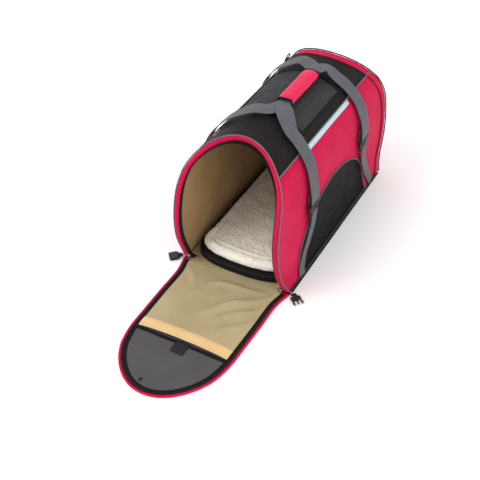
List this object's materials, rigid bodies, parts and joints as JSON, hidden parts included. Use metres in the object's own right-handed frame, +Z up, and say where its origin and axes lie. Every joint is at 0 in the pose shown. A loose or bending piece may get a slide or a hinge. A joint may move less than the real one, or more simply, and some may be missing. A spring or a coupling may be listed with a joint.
{
  "type": "pet carrier bag",
  "caption": "Arched soft-sided pet carrier with a let-down zip door, arched mesh window, fleece bed and two-strap grab handle.",
  "frame": {"origin": "middle of the base panel, on the floor", "axes": "+X to the right when facing the front opening from outside, -Y the front opening and door, +Z up"},
  "size_m": [0.3548, 0.9534, 0.3662],
  "materials": {
    "magenta_nylon": "dense woven nylon, soft sheen",
    "black_nylon": "woven nylon, dull",
    "grey_webbing": "ribbed webbing",
    "grey_piping": "smooth covered cord",
    "reflective_tape": "retroreflective, fine grid",
    "beige_lining": "thin woven lining",
    "tan_hem": "folded binding",
    "fleece": "short pile",
    "mesh_fabric": "open knitted mesh",
    "buckle_plastic": "moulded, satin",
    "zinc_alloy": "die cast, plated"
  },
  "bodies": {
    "bag": {"side_panel_left": "magenta_nylon", "side_panel_right": "magenta_nylon", "front_binding": "magenta_nylon", "rear_gusset": "magenta_nylon", "rear_panel": "magenta_nylon", "roof_panel": "black_nylon", "rear_piping": "black_nylon", "front_zipper_tape": "black_nylon", "base_panel": "black_nylon", "base_piping_left": "black_nylon", "base_piping_right": "black_nylon", "buckle_tab_left": "black_nylon", "buckle_tab_right": "black_nylon", "ring_tab": "black_nylon", "strap_left": "grey_webbing", "strap_right": "grey_webbing", "lower_strap_front_left": "grey_webbing", "lower_strap_front_right": "grey_webbing", "lower_strap_rear_left": "grey_webbing", "lower_strap_rear_right": "grey_webbing", "front_piping": "grey_piping", "roof_piping_left": "grey_piping", "roof_piping_right": "grey_piping", "window_piping": "grey_piping", "reflective_strip_left": "reflective_tape", "reflective_strip_right": "reflective_tape", "lining_shell": "beige_lining", "rear_lining": "beige_lining", "floor_lining": "beige_lining", "window_mesh": "mesh_fabric", "roof_mesh_panel": "mesh_fabric", "adjuster_front_left": "buckle_plastic", "adjuster_front_right": "buckle_plastic", "adjuster_rear_left": "buckle_plastic", "adjuster_rear_right": "buckle_plastic"},
    "handle": {"handle_wrap": "magenta_nylon"},
    "door_lower": {"door_panel_lower": "magenta_nylon", "door_tape_lower_left": "black_nylon", "door_tape_lower_right": "black_nylon", "door_pocket_lower": "beige_lining"},
    "door_middle": {"door_panel_middle": "magenta_nylon", "door_tape_middle_left": "black_nylon", "door_tape_middle_right": "black_nylon", "door_pocket_middle": "beige_lining", "door_pocket_hem": "tan_hem"},
    "door_upper": {"door_panel_upper": "magenta_nylon", "door_tape_upper": "black_nylon", "door_mesh": "mesh_fabric", "door_pull_tab": "black_nylon", "door_tip_tab": "black_nylon"},
    "pad": {"pad_base": "black_nylon", "fleece_pad": "fleece"},
    "slider_right": {"slider_right": "zinc_alloy"},
    "slider_left": {"slider_left": "zinc_alloy"},
    "buckle_right": {"buckle_prongs_right": "buckle_plastic"},
    "buckle_left": {"buckle_socket_left": "buckle_plastic"},
    "ring": {"carry_ring": "buckle_plastic"}
  },
  "joints": [
    {"name": "door_hinge", "type": "hinge", "parent": "bag", "child": "door_lower", "pos_m": [0, -0.2635, 0.0062], "axis": [-1, 0, 0], "range_deg": [0, 60]},
    {"name": "door_fold_low", "type": "hinge", "parent": "door_lower", "child": "door_middle", "pos_m": [0, -0.3805, 0.0062], "axis": [-1, 0, 0], "range_deg": [0, 34.8]},
    {"name": "door_fold_high", "type": "hinge", "parent": "door_middle", "child": "door_upper", "pos_m": [0, -0.4965, 0.0062], "axis": [-1, 0, 0], "range_deg": [0, 32.4]},
    {"name": "handle_lift", "type": "slide", "parent": "bag", "child": "handle", "axis": [0, 0, 1], "range_m": [0, 0.035], "deforming": ["strap_left", "strap_right"]},
    {"name": "pad_lift", "type": "slide", "parent": "bag", "child": "pad", "axis": [0, 0, 1], "range_m": [0, 0.04]},
    {"name": "slider_right_run", "type": "slide", "parent": "bag", "child": "slider_right", "axis": [-0.1586, -0.4167, 0.8951], "range_m": [0, 0.012]},
    {"name": "slider_left_run", "type": "slide", "parent": "bag", "child": "slider_left", "axis": [0.1586, -0.4167, 0.8951], "range_m": [0, 0.012]},
    {"name": "buckle_right_swing", "type": "hinge", "parent": "bag", "child": "buckle_right", "pos_m": [0.15143, -0.2656, 0.0042], "axis": [0.6606, 0.7507, 0], "range_deg": [-8, 100]},
    {"name": "buckle_left_swing", "type": "hinge", "parent": "bag", "child": "buckle_left", "pos_m": [-0.15143, -0.2656, 0.0042], "axis": [0.6606, -0.7507, 0], "range_deg": [-8, 100]},
    {"name": "ring_swing", "type": "hinge", "parent": "bag", "child": "ring", "pos_m": [-0.11603, 0.22463, 0.28262], "axis": [0, -1, 0], "range_deg": [-8, 60]}
  ],
  "couplings": [
    {"joint": "door_fold_low", "follows": "door_hinge", "ratio": 0.58},
    {"joint": "door_fold_high", "follows": "door_hinge", "ratio": 0.54}
  ]
}
